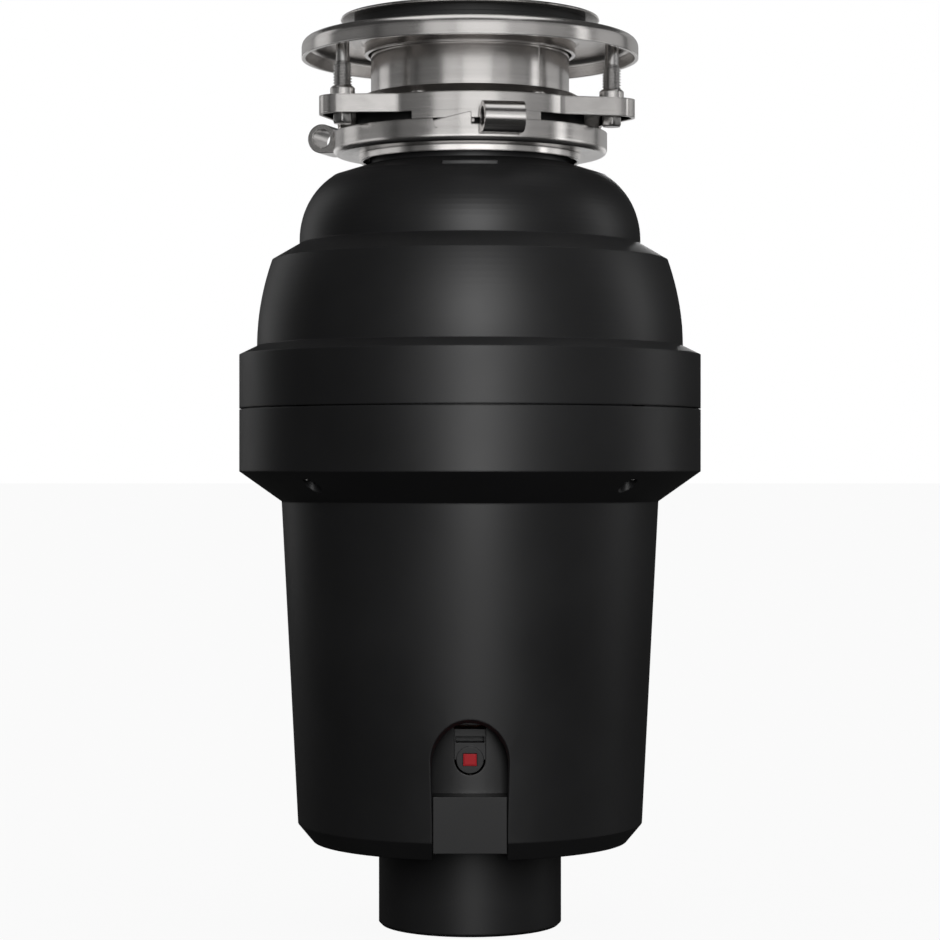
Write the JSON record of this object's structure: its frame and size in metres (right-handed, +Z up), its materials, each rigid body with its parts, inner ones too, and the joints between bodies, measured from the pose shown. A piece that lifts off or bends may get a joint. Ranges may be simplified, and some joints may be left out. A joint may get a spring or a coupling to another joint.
{
  "type": "kitchen waste disposer",
  "caption": "Under-sink food waste disposer with a domed black body, steel three-screw sink mount, discharge elbow, red reset button and full grinding mechanism.",
  "frame": {"origin": "centre of the base cup's underside, where the disposer stands on a flat surface before it is hung", "axes": "+Z up along the shaft to the sink, -Y the front with the reset button, +X to the right seen from the front"},
  "size_m": [0.2036, 0.2596, 0.3999],
  "materials": {
    "cover_plastic": "satin moulded black plastic with a very fine grain",
    "recess_plastic": "smooth black plastic",
    "button_red": "translucent red, smooth",
    "polished_steel": "stamped stainless steel, polished, faint brushed lines",
    "screw_steel": "plated steel",
    "cast_aluminium": "cast, bead blasted",
    "chamber_plastic": "glass filled black plastic",
    "motor_paint": "black enamel",
    "lamination": "stacked silicon steel, varnished",
    "copper_winding": "enamelled copper wire",
    "black_rubber": "matte moulded rubber",
    "foam": "grey acoustic foam"
  },
  "bodies": {
    "disposer": {"base_cup": "cover_plastic", "base_screws": "screw_steel", "lower_cover": "cover_plastic", "upper_cover": "cover_plastic", "cover_screws": "screw_steel", "motor_housing": "motor_paint", "lower_end_frame": "cast_aluminium", "upper_end_frame": "cast_aluminium", "stator_core": "lamination", "stator_windings": "copper_winding", "through_bolts": "screw_steel", "lower_bearing": "screw_steel", "upper_bearing": "screw_steel", "shaft_seal": "black_rubber", "motor_insulation": "foam", "upper_insulation": "foam", "terminal_block": "recess_plastic", "overload_protector": "recess_plastic", "cable_inlet_bush": "black_rubber", "discharge_chamber": "chamber_plastic", "chamber_gasket": "black_rubber", "hopper": "chamber_plastic", "chamber_bolts": "screw_steel", "shredder_ring": "screw_steel", "discharge_gasket": "black_rubber", "discharge_elbow": "chamber_plastic", "discharge_clamp": "screw_steel", "discharge_screws": "screw_steel", "dishwasher_spigot": "chamber_plastic", "spigot_plug": "chamber_plastic", "ring_retainer": "screw_steel", "splash_guard": "black_rubber", "mounting_ring": "polished_steel", "snap_ring": "screw_steel", "upper_gasket": "black_rubber", "sink_flange": "polished_steel"},
    "rotor": {"shaft": "screw_steel", "rotor_core": "lamination", "bearing_inner_rings": "screw_steel", "turntable": "polished_steel", "hub_washer": "screw_steel", "hub_nut": "screw_steel", "impeller_pins": "screw_steel"},
    "impeller_right": {"impeller_right": "polished_steel"},
    "impeller_left": {"impeller_left": "polished_steel"},
    "reset_button": {"reset_button": "button_red"},
    "lock_ring": {"lock_ring": "polished_steel"},
    "clamp": {"backup_flange": "polished_steel", "lower_gasket": "black_rubber"},
    "clamp_screw_right": {"clamp_screw_right": "screw_steel"},
    "clamp_screw_left": {"clamp_screw_left": "screw_steel"},
    "clamp_screw_back": {"clamp_screw_back": "screw_steel"}
  },
  "joints": [
    {"name": "rotor_spin", "type": "hinge", "parent": "disposer", "child": "rotor", "pos_m": [0, 0, 0.1896], "axis": [0, 0, 1], "continuous": true},
    {"name": "impeller_right_swivel", "type": "hinge", "parent": "rotor", "child": "impeller_right", "pos_m": [0.0441, 0, 0.2406], "axis": [0, 0, 1], "continuous": true},
    {"name": "impeller_left_swivel", "type": "hinge", "parent": "rotor", "child": "impeller_left", "pos_m": [-0.0441, 0, 0.2406], "axis": [0, 0, 1], "continuous": true},
    {"name": "reset_press", "type": "slide", "parent": "disposer", "child": "reset_button", "axis": [0, 1, 0], "range_m": [0, 0.002], "stiffness_N_per_m": 600, "springref_m": -0.0005},
    {"name": "lock_ring_twist", "type": "hinge", "parent": "disposer", "child": "lock_ring", "pos_m": [0, 0, 0.33426], "axis": [0, 0, 1], "range_deg": [-30, 0]},
    {"name": "clamp_travel", "type": "slide", "parent": "disposer", "child": "clamp", "axis": [0, 0, 1], "range_m": [-0.008, 0]},
    {"name": "clamp_screw_right_travel", "type": "slide", "parent": "disposer", "child": "clamp_screw_right", "axis": [0, 0, 1], "range_m": [-0.008, 0]},
    {"name": "clamp_screw_left_travel", "type": "slide", "parent": "disposer", "child": "clamp_screw_left", "axis": [0, 0, 1], "range_m": [-0.008, 0]},
    {"name": "clamp_screw_back_travel", "type": "slide", "parent": "disposer", "child": "clamp_screw_back", "axis": [0, 0, 1], "range_m": [-0.008, 0]}
  ],
  "couplings": [
    {"joint": "clamp_screw_right_travel", "follows": "clamp_travel", "ratio": 1},
    {"joint": "clamp_screw_left_travel", "follows": "clamp_travel", "ratio": 1},
    {"joint": "clamp_screw_back_travel", "follows": "clamp_travel", "ratio": 1}
  ]
}
